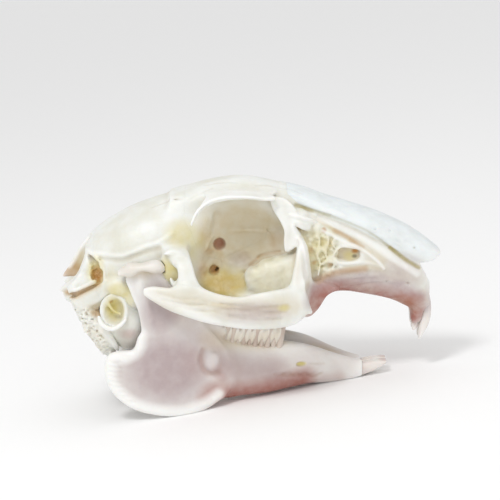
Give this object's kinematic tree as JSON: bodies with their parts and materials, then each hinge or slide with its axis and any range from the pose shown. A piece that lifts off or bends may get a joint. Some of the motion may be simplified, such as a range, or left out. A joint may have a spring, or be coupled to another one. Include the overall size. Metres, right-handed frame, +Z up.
{
  "type": "rabbit skull",
  "caption": "Life-size skull of a domestic rabbit with its lower jaw, nose tipped slightly down as it rests, parted into its named bones and front teeth.",
  "frame": {"origin": "on the table surface, under the middle of the skull's box", "axes": "+X from the nape to the nose, +Y to the animal's left, +Z up"},
  "size_m": [0.0896, 0.0438, 0.0512],
  "materials": {
    "bone": "cleaned and bleached dry bone, satin",
    "jaw_bone": "thin dry bone, satin, slightly mauve where light passes through",
    "enamel": "tooth enamel, glossy"
  },
  "bodies": {
    "root": {"braincase": "bone", "occipital": "bone", "frontal_right": "bone", "frontal_left": "bone", "nasal_right": "bone", "nasal_left": "bone", "maxilla_right": "bone", "maxilla_left": "bone", "premaxilla_right": "bone", "premaxilla_left": "bone", "zygoma_right": "bone", "zygoma_left": "bone", "bulla_right": "bone", "bulla_left": "bone", "mandible_right": "jaw_bone", "mandible_left": "jaw_bone", "incisor_upper_right": "enamel", "incisor_upper_left": "enamel", "peg_tooth_right": "enamel", "peg_tooth_left": "enamel", "incisor_lower_right": "enamel", "incisor_lower_left": "enamel"}
  },
  "joints": []
}
